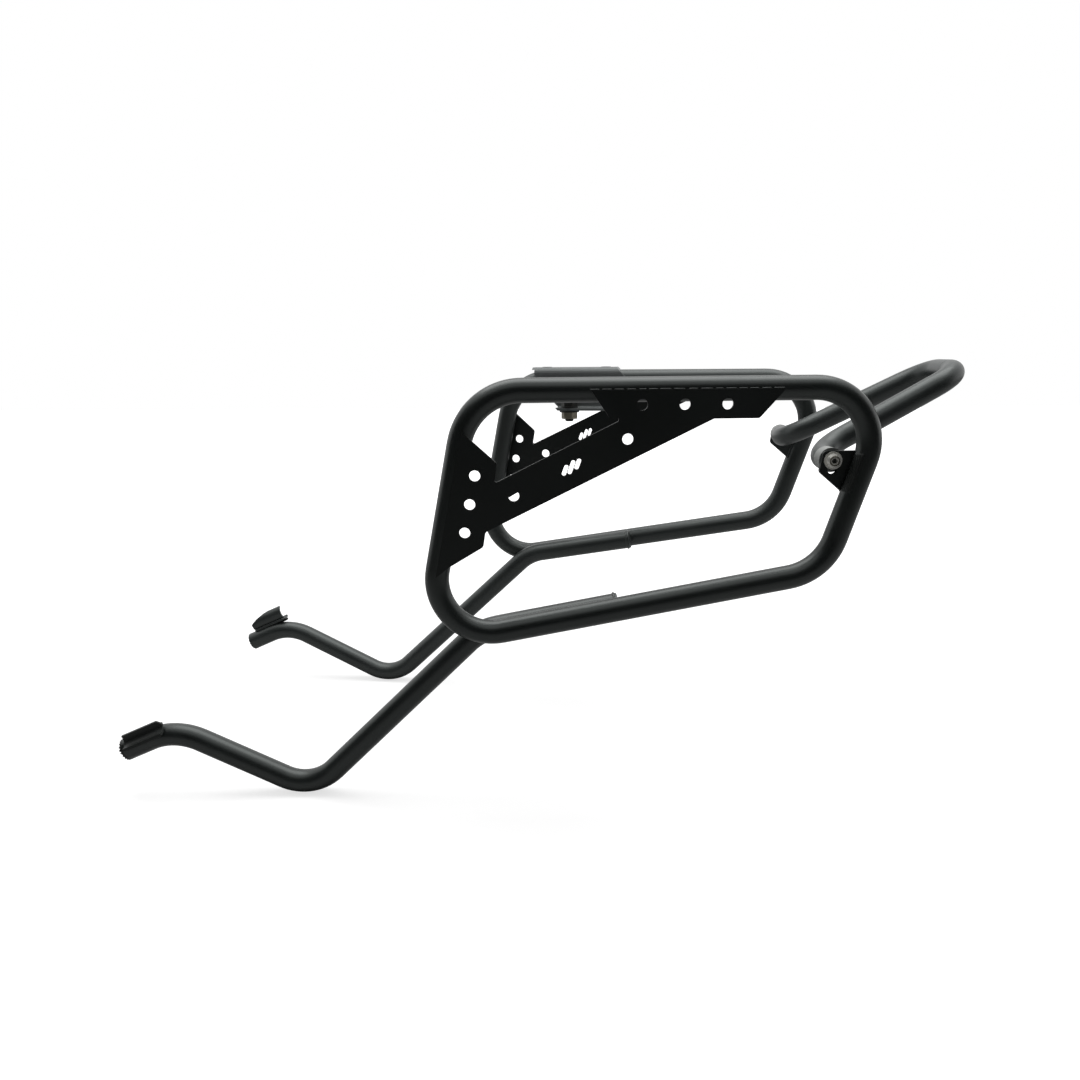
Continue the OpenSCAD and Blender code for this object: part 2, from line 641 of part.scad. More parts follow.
// Folded bracket on the right loop: upper flange on the tube, web inboard, lower flange inwards;
// its section is drawn as outboard and up, its side outline as along and up
bracket_top = tube_r + seam + bracket_t;
web_in = tube_r + seam + bracket_t;
bracket_end = bracket_start + bracket_l;
hang_in = web_in + lower_w / 2;
web_rear = bracket_end + bracket_flare;
web_front = bracket_start + bracket_t;
bracket_low = -bracket_drop;
bracket_section = rounded([
        [bracket_w - web_in, bracket_top], [-web_in, bracket_top], [-web_in, bracket_low + bracket_t],
        [bracket_t - web_in - lower_w, bracket_low + bracket_t], [bracket_t - web_in - lower_w, bracket_low],
        [bracket_t - web_in, bracket_low], [bracket_t - web_in, bracket_top - bracket_t],
        [bracket_w - web_in, bracket_top - bracket_t]],
    [0, bracket_bend, shelf_bend, 0, 0, shelf_bend + bracket_t, bracket_bend - bracket_t, 0]);
shelf_front = web_front + bracket_taper + shelf_cut;
bracket_side = [[bracket_start, bracket_top + 1], [bracket_end - 1, bracket_top + 1],
    [web_rear, bracket_top - bracket_flare], [web_rear, bracket_low + shelf_cut],
    [web_rear - shelf_cut, bracket_low], [web_rear - shelf_cut, bracket_low - 1],
    [shelf_front, bracket_low - 1], [shelf_front, bracket_low],
    [shelf_front - shelf_cut, bracket_low + shelf_cut],
    [web_front, bracket_top - bracket_bend], [web_front, bracket_top - bracket_t],
    [bracket_start, bracket_top - bracket_t]];
module top_bracket() {
    color(bracket_grey) on_loop(right) difference() {
        intersection() {
            translate([bracket_start - 1, 0, 0]) rotate([90, 0, 90])
                linear_extrude(height = web_rear - bracket_start + 2) polygon(bracket_section);
            standing(-web_in - lower_w, bracket_w + lower_w + 5) polygon(bracket_side);
        }
        for (e = [-1, 1])
            translate([bracket_start + bracket_l / 2 + e * bracket_hole_gap / 2 + bracket_t / 2, 0, 0])
                cylinder(d = bracket_hole_d, h = bracket_top + 5);
        translate([hang_u, -hang_in, bracket_low - 1])
            cylinder(d = hang_bolt_d + bolt_play * 4, h = bracket_t + 2);
    }
}
// Puts the drawing on the bracket bolt's axis, zero at the lower flange's underside
module on_hang_bolt() {
    on_loop(right) translate([hang_u, -hang_in, -bracket_drop]) children();
}
hang_top = bracket_t + seam;
module bracket_upper_washer() {
    color(zinc) on_hang_bolt() translate([0, 0, hang_top]) hang_washer(hang_washer_d);
}
module bracket_lower_washer() {
    color(zinc) on_hang_bolt() translate([0, 0, -hang_washer_t - seam]) hang_washer(nut_washer_d);
}
module hang_washer(washer_d) {
    difference() {
        cylinder(d = washer_d, h = hang_washer_t);
        translate([0, 0, -1]) cylinder(d = hang_bolt_d + bolt_play * 2, h = hang_washer_t + 2);
    }
}
nut_top = -hang_washer_t - seam * 2;
module bracket_nut() {
    color(zinc) on_hang_bolt() translate([0, 0, nut_top - hang_nut_h]) difference() {
        cylinder(d = hang_af / cos(30), h = hang_nut_h, $fn = 6);
        translate([0, 0, -1]) cylinder(d = hang_bolt_d + seam * 2, h = hang_nut_h + 2);
    }
}
module bracket_bolt() {
    seat = hang_top + hang_washer_t + seam;
    point = 1;
    tip = nut_top - hang_nut_h - hang_tip;
    color(zinc) on_hang_bolt() {
        translate([0, 0, tip + point]) cylinder(d = hang_bolt_d, h = seat + 1 - tip - point);
        translate([0, 0, tip]) cylinder(d1 = hang_bolt_d - 2 * point, d2 = hang_bolt_d, h = point);
        translate([0, 0, seat]) cylinder(d = hang_af / cos(30), h = hang_head_h, $fn = 6);
    }
}

translate(-middle) {
    loop_tube(left);  // left_loop_tube
    loop_tube(right);  // right_loop_tube
    gusset_plate(left);  // left_gusset_plate
    gusset_plate(right);  // right_gusset_plate
    leg_tube(left);  // left_leg_tube
    leg_tube(right);  // right_leg_tube
    leg_cap(left);  // left_leg_cap
    leg_cap(right);  // right_leg_cap
    saddle(left);  // left_saddle
    saddle(right);  // right_saddle
    rear_tab(left);  // left_rear_tab
    rear_tab(right);  // right_rear_tab
    rear_hoop();
    hoop_plug(left);  // left_hoop_plug
    hoop_plug(right);  // right_hoop_plug
    tab_bolt(left);  // left_tab_bolt
    tab_bolt(right);  // right_tab_bolt
    tab_washer(left);  // left_tab_washer
    tab_washer(right);  // right_tab_washer
    top_bracket();
    bracket_bolt();
    bracket_upper_washer();
    bracket_lower_washer();
    bracket_nut();
}
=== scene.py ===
import math
import random

import bmesh
import bpy
from mathutils import Matrix, Vector


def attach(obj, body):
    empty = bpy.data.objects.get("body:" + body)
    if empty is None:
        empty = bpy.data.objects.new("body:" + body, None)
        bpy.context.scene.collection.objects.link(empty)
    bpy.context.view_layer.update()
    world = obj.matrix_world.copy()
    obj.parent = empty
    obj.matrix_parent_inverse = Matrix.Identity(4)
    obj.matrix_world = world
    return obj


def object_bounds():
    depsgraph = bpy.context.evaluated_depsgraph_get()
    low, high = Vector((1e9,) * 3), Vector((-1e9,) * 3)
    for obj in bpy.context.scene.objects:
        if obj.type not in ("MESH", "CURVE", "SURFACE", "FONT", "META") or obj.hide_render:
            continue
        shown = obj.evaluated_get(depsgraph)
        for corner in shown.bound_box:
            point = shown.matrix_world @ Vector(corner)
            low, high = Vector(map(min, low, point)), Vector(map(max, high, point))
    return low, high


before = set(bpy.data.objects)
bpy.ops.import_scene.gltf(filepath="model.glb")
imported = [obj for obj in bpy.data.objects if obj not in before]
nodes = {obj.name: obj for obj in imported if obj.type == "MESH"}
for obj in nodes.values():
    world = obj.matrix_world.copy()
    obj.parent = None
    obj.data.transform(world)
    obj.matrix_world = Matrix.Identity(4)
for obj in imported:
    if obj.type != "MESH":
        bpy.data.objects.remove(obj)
cadBox = [list(corner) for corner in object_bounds()]
print("frame loaded:", len(nodes), "CAD nodes")

# Drawing sizes of the frame, in millimetres, from the loop's front upper corner
middle = Vector((52.7125, 0, -186.7841))
left, right = -1, 1
tubeR = 11.1
loop = {"spacing": 349.6, "toe": math.radians(6.2), "top": 376.5, "frontH": 233, "frontRake": 46,
        "rearH": 167, "rearRake": 54.5}


def place(x, y, z):
    return (Vector((x, y, z)) - middle) / 1000


def atLoop(u, out, z, side):
    # along the loop, outboard of its middle plane, up
    c, s = math.cos(loop["toe"]), math.sin(loop["toe"])
    return place(u * c + out * s, side * (loop["spacing"] / 2 - u * s + out * c), z)


def footZ(u):
    rise = (loop["frontH"] - loop["rearH"]) / (loop["top"] - loop["rearRake"] + loop["frontRake"])
    return -loop["frontH"] + rise * (u + loop["frontRake"])


def unitTo(a, b):
    return (b - a).normalized()


# Leg corners in drawing millimetres, front end first
leg = {"reach": {left: 354.2, right: 361}, "endDrop": {left: 351.4, right: 348.5},
       "endRun": 51.6, "endRise": 23, "endY": 167, "gap": 22.4,
       "knee": {left: 4.5, right: 22}, "end": {left: 133, right: 147}, "lift": {left: -2, right: 2}}


def legEnd(side):
    # the leg's front end, its direction rearwards, and the direction square to it, up
    x, y, z = -leg["reach"][side], side * leg["endY"], -leg["endDrop"][side]
    p = place(x, y, z)
    q = place(x + leg["endRun"], y, z + leg["endRise"])
    along = unitTo(p, q)
    out = Vector((0, side, 0))
    up = along.cross(out)
    return p, along, out, up if up.z > 0 else -up


def legTop(u, side, aside=0.0, rise=0.0):
    # a point beside the leg's upper run: outboard of its axis and above it, in millimetres
    return atLoop(u, aside - leg["gap"], footZ(u) + leg["lift"][side] + rise, side)


# Camera at the photograph's place
camera = {"place": (132.4, -965.9, 32.9), "yaw": -5.08, "pitch": 11.80, "roll": -0.56,
          "lens": 30, "sensor": 36, "clip": 20}


def makeCamera():
    data = bpy.data.cameras.new("studioCamera")
    data.sensor_width = camera["sensor"]
    data.lens = camera["lens"]
    data.clip_end = camera["clip"]
    obj = bpy.data.objects.new("studioCamera", data)
    bpy.context.scene.collection.objects.link(obj)
    turn = (Matrix.Rotation(math.radians(-camera["yaw"]), 3, "Z")
            @ Matrix.Rotation(math.radians(90 - camera["pitch"]), 3, "X")
            @ Matrix.Rotation(math.radians(camera["roll"]), 3, "Z"))
    obj.matrix_world = Matrix.Translation(place(*camera["place"])) @ turn.to_4x4()
    bpy.context.scene.camera = obj


makeCamera()
print("camera set")


# Materials
def newMaterial(name):
    mat = bpy.data.materials.new(name)
    mat.use_nodes = True
    tree = mat.node_tree
    return mat, tree, tree.nodes["Principled BSDF"]


def noiseOn(tree, scale, detail=4.0, rough=0.55):
    coord = tree.nodes.new("ShaderNodeTexCoord")
    noise = tree.nodes.new("ShaderNodeTexNoise")
    noise.inputs["Scale"].default_value = scale
    noise.inputs["Detail"].default_value = detail
    noise.inputs["Roughness"].default_value = rough
    tree.links.new(coord.outputs["Object"], noise.inputs["Vector"])
    return noise


def rampOn(tree, source, low, high, stops=(0.35, 0.65)):
    ramp = tree.nodes.new("ShaderNodeValToRGB")
    ramp.color_ramp.elements[0].position = stops[0]
    ramp.color_ramp.elements[1].position = stops[1]
    ramp.color_ramp.elements[0].color = (*low, 1)
    ramp.color_ramp.elements[1].color = (*high, 1)
    tree.links.new(source, ramp.inputs["Fac"])
    return ramp


noiseSpan = (0.3, 0.7)


def rangeOn(tree, source, low, high):
    span = tree.nodes.new("ShaderNodeMapRange")
    span.inputs["From Min"].default_value = noiseSpan[0]
    span.inputs["From Max"].default_value = noiseSpan[1]
    span.inputs["To Min"].default_value = low
    span.inputs["To Max"].default_value = high
    tree.links.new(source, span.inputs["Value"])
    return span


def bumpOn(tree, bsdf, source, distance, strength=1.0):
    bump = tree.nodes.new("ShaderNodeBump")
    bump.inputs["Strength"].default_value = strength
    bump.inputs["Distance"].default_value = distance
    tree.links.new(source, bump.inputs["Height"])
    tree.links.new(bump.outputs["Normal"], bsdf.inputs["Normal"])


finishes = {
    "powderCoat": {"low": (0.0092, 0.0112, 0.0108), "high": (0.0124, 0.0150, 0.0145), "rough": (0.30, 0.38),
                   "specular": 0.58, "metal": 0.0, "grain": 900, "peel": 0.00003, "patch": 14},
    # painted light: a lighter copy of the coat for the far side and the rear hoop, which look lit from
    # behind
    "paintedLightCoat": {"low": (0.0235, 0.0272, 0.0266), "high": (0.0290, 0.0332, 0.0325), "rough": (0.33, 0.41),
             "specular": 0.58, "metal": 0.0, "grain": 900, "peel": 0.00003, "patch": 14},
    # painted shade: a darker copy of the coat for the near plate, tab, saddle and their beads, which sit in
    # shade
    "paintedShadeCoat": {"low": (0.0056, 0.0064, 0.0061), "high": (0.0078, 0.0090, 0.0085), "rough": (0.42, 0.52),
                  "specular": 0.35, "metal": 0.0, "grain": 1100, "peel": 0.00002, "patch": 10},
    # painted light: a lighter copy of the shaded plate coat, for the far plate, as if more light falls on
    # the far side
    "paintedLightPlateCoat": {"low": (0.0115, 0.0130, 0.0125), "high": (0.0150, 0.0170, 0.0163), "rough": (0.42, 0.52),
                  "specular": 0.35, "metal": 0.0, "grain": 1100, "peel": 0.00002, "patch": 10},
    # painted light: a far lighter copy of the coat for the bracket, whose face turned up to the softbox
    # looks lit
    "bracketPaintedLightCoat": {"low": (0.115, 0.123, 0.123), "high": (0.150, 0.160, 0.160), "rough": (0.34, 0.44),
                    "specular": 0.40, "metal": 0.0, "grain": 1000, "peel": 0.00003, "patch": 18},
    # painted reflection: a near-white base on a half metal, so the tab bolts and washers look bright as if
    # mirroring bright surroundings
    "stainless": {"low": (0.72, 0.71, 0.66), "high": (0.88, 0.87, 0.82), "rough": (0.26, 0.38),
                  "specular": 0.5, "metal": 0.35, "grain": 700, "peel": 0.00001, "patch": 60},
    "turned": {"low": (0.27, 0.28, 0.27), "high": (0.34, 0.35, 0.34), "rough": (0.50, 0.60),
               "specular": 0.5, "metal": 0.45, "grain": 700, "peel": 0.00001, "patch": 60},
    "zinc": {"low": (0.26, 0.235, 0.18), "high": (0.38, 0.35, 0.28), "rough": (0.28, 0.42),
             "specular": 0.5, "metal": 0.8, "grain": 700, "peel": 0.00001, "patch": 90},
    # a dull, brownish half metal, darker than the bolt, for the ring round its crown
    "dullBrownMetal": {"low": (0.085, 0.080, 0.062), "high": (0.150, 0.140, 0.110), "rough": (0.30, 0.44),
               "specular": 0.5, "metal": 0.3, "grain": 900, "peel": 0.00002, "patch": 260},
    "blackened": {"low": (0.010, 0.010, 0.009), "high": (0.020, 0.020, 0.018), "rough": (0.34, 0.48),
                  "specular": 0.45, "metal": 0.0, "grain": 700, "peel": 0.00002, "patch": 120},
}
coatTint = (0.94, 1.0, 0.975, 1)
plainTint = (1, 1, 1, 1)


def makeFinish(name):
    f = finishes[name]
    mat, tree, bsdf = newMaterial(name)
    patch = noiseOn(tree, f["patch"])
    grain = noiseOn(tree, f["grain"], detail=2.0, rough=0.5)
    ramp = rampOn(tree, patch.outputs["Fac"], f["low"], f["high"])
    tree.links.new(ramp.outputs["Color"], bsdf.inputs["Base Color"])
    span = rangeOn(tree, patch.outputs["Fac"], *f["rough"])
    tree.links.new(span.outputs["Result"], bsdf.inputs["Roughness"])
    bsdf.inputs["Metallic"].default_value = f["metal"]
    bsdf.inputs["Specular IOR Level"].default_value = f["specular"]
    bsdf.inputs["Specular Tint"].default_value = plainTint if f["metal"] else coatTint
    bumpOn(tree, bsdf, grain.outputs["Fac"], f["peel"])
    return mat


mats = {name: makeFinish(name) for name in finishes}


def nodeFinish(name):
    # the far plate takes painted light, a lighter copy of the shaded plate coat
    if name == "right_gusset_plate":
        return "paintedLightPlateCoat"
    # the near plate, tab and saddle take painted shade, a darker copy of the coat
    if name in ("left_gusset_plate", "left_rear_tab", "left_saddle"):
        return "paintedShadeCoat"
    # the bracket takes painted light, a far lighter copy of the coat
    if name == "top_bracket":
        return "bracketPaintedLightCoat"
    if name.startswith("bracket_"):
        return "zinc" if name == "bracket_nut" else "blackened"
    if "plug" in name:
        return "turned"
    # the tab bolts and washers take a painted reflection, a near-white base on a half metal
    if "tab_bolt" in name or "tab_washer" in name:
        return "stainless"
    # the far side and the rear hoop take painted light, a lighter copy of the coat
    return "paintedLightCoat" if name.startswith("right_") or name == "rear_hoop" else "powderCoat"


for name, obj in nodes.items():
    obj.data.materials.clear()
    obj.data.materials.append(mats[nodeFinish(name)])
print("materials on", len(nodes), "nodes")


# Pieces that the welder, the saw and the punch leave on the frame
def frameAlong(point, ahead, hint=Vector((0, 0, 1))):
    z = ahead.normalized()
    x = hint.cross(z)
    if x.length < 1e-3:
        x = Vector((0, 1, 0)).cross(z)
    x.normalize()
    m = Matrix((x, z.cross(x), z)).transposed().to_4x4()
    m.translation = point
    return m


def circleSteps(count):
    return [math.tau * i / count for i in range(count)]


def sweptBead(points, radii, sides=10, closed=False):
    # a round bead pulled along the points, with its own radius at each
    bm = bmesh.new()
    count = len(points)
    ends = [(points[(i + 1) % count] if closed or i < count - 1 else points[i]) for i in range(count)]
    starts = [(points[i - 1] if closed or i > 0 else points[i]) for i in range(count)]
    frames = [frameAlong(points[i], ends[i] - starts[i]) @ Matrix.Diagonal((radii[i], radii[i], radii[i], 1))
              for i in range(count)]
    bmesh.ops.create_circle(bm, segments=sides, radius=1.0, cap_ends=False, matrix=frames[0])
    edges = list(bm.edges)
    for i in range(1, count):
        step = bmesh.ops.extrude_edge_only(bm, edges=edges)
        ring = [g for g in step["geom"] if isinstance(g, bmesh.types.BMVert)]
        edges = [g for g in step["geom"]
                 if isinstance(g, bmesh.types.BMEdge) and all(v in ring for v in g.verts)]
        bmesh.ops.transform(bm, matrix=frames[i] @ frames[i - 1].inverted(), verts=ring)
    if closed:
        rim = [e for e in bm.edges if e.is_boundary]
        bmesh.ops.bridge_loops(bm, edges=rim)
    else:
        bmesh.ops.holes_fill(bm, edges=bm.edges, sides=sides)
    bmesh.ops.recalc_face_normals(bm, faces=bm.faces)
    return bm


def putInOrder(bm):
    # an extrusion leaves its edges and faces in no fixed order, so they get that of their corners
    bm.verts.index_update()
    count = len(bm.verts)

    def rank(item):
        corners = [v.index for v in item.verts]
        return min(corners) * count + max(corners)

    bm.edges.sort(key=rank)
    bm.faces.sort(key=rank)


def finishPiece(bm, name, finish, smooth=True):
    putInOrder(bm)
    mesh = bpy.data.meshes.new(name)
    bm.to_mesh(mesh)
    bm.free()
    for face in mesh.polygons:
        face.use_smooth = smooth
    mesh.materials.append(mats[finish])
    obj = bpy.data.objects.new(name, mesh)
    bpy.context.scene.collection.objects.link(obj)
    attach(obj, "root")


def between(a, b, steps):
    return [a.lerp(b, i / steps) for i in range(steps + 1)]


scales = {"middle": 0.6, "jitter": 0.03, "taperRun": 1.6, "tip": 0.12}


def rippled(points, radius, ripple, pitch, seed, taper=True):
    # radii of a welder's bead: scales one behind the other, thinner at both ends
    rand = random.Random(seed)
    run, radii = 0.0, []
    total = sum((b - a).length for a, b in zip(points, points[1:]))
    for i, point in enumerate(points):
        if i:
            run += (point - points[i - 1]).length
        scale = 1 + ripple * (abs(math.sin(math.pi * run / pitch)) - scales["middle"])
        scale += rand.uniform(-scales["jitter"], scales["jitter"])
        if taper:
            fromEnd = min(run, total - run) / (radius * scales["taperRun"])
            scale *= math.sqrt(min(1.0, scales["tip"] + fromEnd))
        radii.append(radius * scale)
    return radii


def weldLine(a, b, w, seed, radius=None):
    # one straight weld from a to b, with the sizes of the dict w in millimetres
    points = between(a, b, w["steps"])
    radii = rippled(points, (radius or w["radius"]) / 1000, w["ripple"], w["scale"] / 1000, seed)
    return sweptBead(points, radii)


def joined(parts):
    # several beads in one bmesh
    whole = bmesh.new()
    for part in parts:
        mesh = bpy.data.meshes.new("part")
        part.to_mesh(mesh)
        part.free()
        whole.from_mesh(mesh)
        bpy.data.meshes.remove(mesh)
    return whole


sideName = {left: "left", right: "right"}
# the beads take the coat of their side: the far side's painted-light copy, and on the sheet parts the near
# side's painted-shade copy
sideCoat = {left: "powderCoat", right: "paintedLightCoat"}
sideDark = {left: "paintedShadeCoat", right: "paintedLightCoat"}

plateStitches = {"start": 106, "last": 268, "gap": (1.0, 2.8), "length": (7.0, 11.5), "radius": 0.62,
                 "out": 11.9, "rise": 0.5, "low": {left: 0, right: 2.8}, "steps": 18, "ripple": 0.16,
                 "scale": 2.2, "seed": 17}


def makePlateStitches(side):
    p = plateStitches
    parts = []
    rand = random.Random(p["seed"] + side)
    u = p["start"]
    z = p["rise"] - p["low"][side]
    while u < p["last"]:
        length = rand.uniform(*p["length"])
        a, b = atLoop(u, p["out"], z, side), atLoop(u + length, p["out"], z, side)
        parts.append(weldLine(a, b, p, int(u)))
        u += length + rand.uniform(*p["gap"])
    finishPiece(joined(parts), sideName[side] + "_plate_stitches", "powderCoat")


legWeld = {"radius": 2.6, "height": 7.4, "start": 16, "stitch": 24, "gap": 13, "room": 4, "scale": 2.4,
           "ripple": 0.12, "steps": 30}
capWeld = {"radius": 1.35, "ring": 10.8, "steps": 72, "ripple": 0.18, "scale": 3.1, "seed": 5, "back": 20}


def makeLegWelds(side):
    w, c = legWeld, capWeld
    parts = []
    last = leg["end"][side]
    for sign in (1, -1):
        u = leg["knee"][side] + w["start"]
        while u < last - w["room"]:
            stop = min(u + w["stitch"], last)
            rise = -leg["lift"][side] / 2 + sign * w["height"]
            a = legTop(u, side, aside=leg["gap"] / 2, rise=rise)
            b = legTop(stop, side, aside=leg["gap"] / 2, rise=rise)
            parts.append(weldLine(a, b, w, int(u) + sign))
            u = stop + w["gap"]
    end = legTop(last, side)
    base = frameAlong(end, end - legTop(last - c["back"], side))
    ring = [base @ (Vector((math.cos(t), math.sin(t), 0)) * c["ring"] / 1000)
            for t in circleSteps(c["steps"])]
    radii = rippled(ring, c["radius"] / 1000, c["ripple"], c["scale"] / 1000, c["seed"], taper=False)
    parts.append(sweptBead(ring, radii, closed=True))
    finishPiece(joined(parts), sideName[side] + "_leg_welds", sideCoat[side])


tab = {"boltAhead": 50.1, "boltDrop": 65.3, "in": 4.0, "thick": 4.0}
# the weld of the inner face is one bead; the outer face has passes side by side on the rear post
tabWeld = {"up": 7.6, "down": 29, "foot": 0.7, "lean": 1.05, "bendEnd": 65.4, "bendRadius": 50, "steps": 32,
           "scale": 2.4, "seed": 23, "inner": (1.3, 0.12),
           "passes": (12, 22, 32, 41, 50), "depth": 9.9, "outer": (2.0, 0.02)}


def makeTabWelds(side):
    w = tabWeld
    rake = loop["rearRake"] / loop["rearH"]
    inner = -tab["in"] - tab["thick"] / 2 - w["foot"]
    lines = [(math.sqrt(tubeR ** 2 - inner ** 2) + w["foot"], inner, *w["inner"])]
    for turn in w["passes"]:
        t = math.radians(turn)
        lines.append((w["depth"] * math.cos(t), w["depth"] * math.sin(t), *w["outer"]))
    parts = []
    for reach, out, radius, ripple in lines:
        points = []
        for i in range(w["steps"] + 1):
            down = tab["boltDrop"] - w["up"] + (w["up"] + w["down"]) * i / w["steps"]
            bow = max(0, w["bendEnd"] - down) ** 2 / (2 * w["bendRadius"])
            points.append(atLoop(loop["top"] - down * rake - reach * w["lean"] - bow, out, -down, side))
        radii = rippled(points, radius / 1000, ripple, w["scale"] / 1000, w["seed"])
        parts.append(sweptBead(points, radii))
    finishPiece(joined(parts), sideName[side] + "_tab_welds", sideDark[side])


saddle = {"back": {left: 6.3, right: 10.5}, "angle": {left: 38, right: 75}, "spread": 30.5, "reach": 12.3,
          "radius": {left: 1.3, right: 2.0}, "length": {left: (44, 42), right: (45, 45)},
          "steps": 40, "ripple": 0.12, "scale": 2.6, "seed": 61}


def makeSaddleWelds(side):
    w = saddle
    p, along, out, up = legEnd(side)
    parts = []
    for k, sign in enumerate((1, -1)):
        t = math.radians(w["angle"][side] + sign * w["spread"])
        foot = p + (out * math.cos(t) + up * math.sin(t)) * w["reach"] / 1000
        start = w["back"][side]
        stop = start + w["length"][side][k]
        a, b = foot + along * start / 1000, foot + along * stop / 1000
        parts.append(weldLine(a, b, w, w["seed"] + k, radius=w["radius"][side]))
    finishPiece(joined(parts), sideName[side] + "_saddle_welds", sideDark[side])


sawnEnd = {"outer": 11.14, "wall": 2.1, "depth": 1.6, "teeth": {left: 21, right: 17},
           "bite": {left: 2.4, right: 0.8}, "least": 0.55, "steps": 126, "seed": 3}


def makeSawnEnd(side):
    # a short ring on the leg's front end, whose rim the saw has left toothed
    e = sawnEnd
    p, along, _, up = legEnd(side)
    teeth = e["teeth"][side]
    bm = bmesh.new()
    base = frameAlong(p + along * e["depth"] / 1000, -along, hint=up)
    bmesh.ops.create_circle(bm, segments=e["steps"], radius=e["outer"] / 1000, cap_ends=False, matrix=base)
    step = bmesh.ops.extrude_edge_only(bm, edges=list(bm.edges))
    front = [g for g in step["geom"] if isinstance(g, bmesh.types.BMVert)]
    rand = random.Random(e["seed"] + side)
    inverse = base.inverted()
    bites = [rand.uniform(e["least"], 1.0) for _ in range(teeth)]
    for v in front:
        local = inverse @ v.co
        turn = (math.atan2(local.y, local.x) / math.tau) % 1.0 * teeth
        saw = abs((turn % 1.0) - 0.5) * 2
        reach = e["depth"] + saw * e["bite"][side] * bites[int(turn) % teeth]
        v.co -= along * reach / 1000
    bmesh.ops.recalc_face_normals(bm, faces=bm.faces)
    putInOrder(bm)
    bmesh.ops.solidify(bm, geom=list(bm.faces), thickness=e["wall"] / 1000)
    bmesh.ops.recalc_face_normals(bm, faces=bm.faces)
    finishPiece(bm, sideName[side] + "_sawn_end", sideDark[side], smooth=False)


# places across the loop, as outboard and up, of the bracket's three rows of stitches
bracketWeld = {"rows": ((6.6, 9.9), (-10.6, -6.6), (-9.4, 9.2)), "count": 4, "start": 30, "last": 128,
               "stitch": 16, "pitch": 29, "radius": 2.0, "steps": 22, "ripple": 0.12, "scale": 2.4,
               "seed": 80}


def makeBracketWelds():
    w = bracketWeld
    parts = []
    for i in range(w["count"]):
        u = w["start"] + i * w["pitch"]
        stop = min(u + w["stitch"], w["last"])
        for out, z in w["rows"]:
            parts.append(weldLine(atLoop(u, out, z, right), atLoop(stop, out, z, right), w, w["seed"] + i))
    finishPiece(joined(parts), "bracket_welds", "powderCoat")


thread = {"radius": 4.98, "pitch": 1.5, "turns": 1.7, "crest": 0.34, "start": 1.2, "steps": 36, "sides": 6,
          "boltU": 75, "in": 27.2, "drop": 37.0, "tip": 13.3}


def makeBoltThread():
    t = thread
    points = []
    for i in range(int(t["turns"] * t["steps"])):
        a = math.tau * i / t["steps"]
        z = -t["drop"] - t["tip"] + t["start"] + t["pitch"] * i / t["steps"]
        foot = atLoop(t["boltU"], -t["in"], z, right)
        points.append(foot + Vector((math.cos(a), math.sin(a), 0)) * t["radius"] / 1000)
    radii = [t["crest"] / 1000] * len(points)
    finishPiece(sweptBead(points, radii, sides=t["sides"]), "bracket_bolt_thread", "blackened")


holeRims = {"middle": 79.5, "gap": 73.5, "top": 14.2, "radius": 5.6, "bead": 0.5, "steps": 48, "sides": 8}


def makeHoleRims():
    # the raised edge of the two punched holes on top of the bracket
    h = holeRims
    parts = []
    for sign in (-1, 1):
        u = h["middle"] + sign * h["gap"] / 2
        ring = [atLoop(u + math.cos(t) * h["radius"], math.sin(t) * h["radius"], h["top"], right)
                for t in circleSteps(h["steps"])]
        parts.append(sweptBead(ring, [h["bead"] / 1000] * len(ring), sides=h["sides"], closed=True))
    # the rims take the bracket's painted-light coat
    finishPiece(joined(parts), "bracket_hole_rims", "bracketPaintedLightCoat")


# heights above the tab's inner face
socket = {"radius": 2.35, "thick": 0.25, "floor": 7.27, "sides": 24}
crownRim = {"height": 9.85, "ring": 3.95, "bead": 0.8, "steps": 48}


def makeBoltLook(side):
    # a black disc at the bottom of the bolt's hexagon socket, painted shade in the recess, and a dull
    # brownish ring round its crown
    k, c = socket, crownRim
    u = loop["top"] - tab["boltAhead"]
    inner = -tab["in"] - tab["thick"] / 2
    foot = atLoop(u, inner + k["floor"], -tab["boltDrop"], side)
    ahead = unitTo(foot, atLoop(u, inner + k["floor"] + 1, -tab["boltDrop"], side))
    bm = bmesh.new()
    base = frameAlong(foot + ahead * k["thick"] / 2000, ahead)
    radius = k["radius"] / 1000
    # the black disc is painted shade at the socket's bottom
    bmesh.ops.create_cone(bm, cap_ends=True, segments=k["sides"], radius1=radius, radius2=radius,
                          depth=k["thick"] / 1000, matrix=base)
    finishPiece(bm, sideName[side] + "_bolt_socket_shade_disc", "blackened", smooth=False)
    crown = frameAlong(foot + ahead * (c["height"] - k["floor"]) / 1000, ahead)
    ring = [crown @ (Vector((math.cos(t), math.sin(t), 0)) * c["ring"] / 1000)
            for t in circleSteps(c["steps"])]
    radii = [c["bead"] / 1000] * len(ring)
    finishPiece(sweptBead(ring, radii, closed=True), sideName[side] + "_bolt_crown_rim", "dullBrownMetal")


for side in (left, right):
    makePlateStitches(side)
    makeLegWelds(side)
    makeTabWelds(side)
    makeSaddleWelds(side)
    makeSawnEnd(side)
    makeBoltLook(side)
makeBracketWelds()
makeBoltThread()
makeHoleRims()
print("welds, sawn ends, thread and rims made")

# Studio: white surround, pale floor, one overhead softbox and a black card behind the camera
studio = {"fill": 0.5,
          "floor": {"half": 6.0, "tone": 0.46, "rough": 0.9, "specular": 0.1, "glow": (0.62, 0.6),
                    "fade": 0.55},
          "flag": {"radius": 1.7, "spread": 160, "top": 1.5, "tone": 0.05, "steps": 32},
          "softbox": {"place": (0.0, 0.35, 1.9), "target": (0, 0.05, 0), "size": (2.6, 1.5), "watts": 36}}


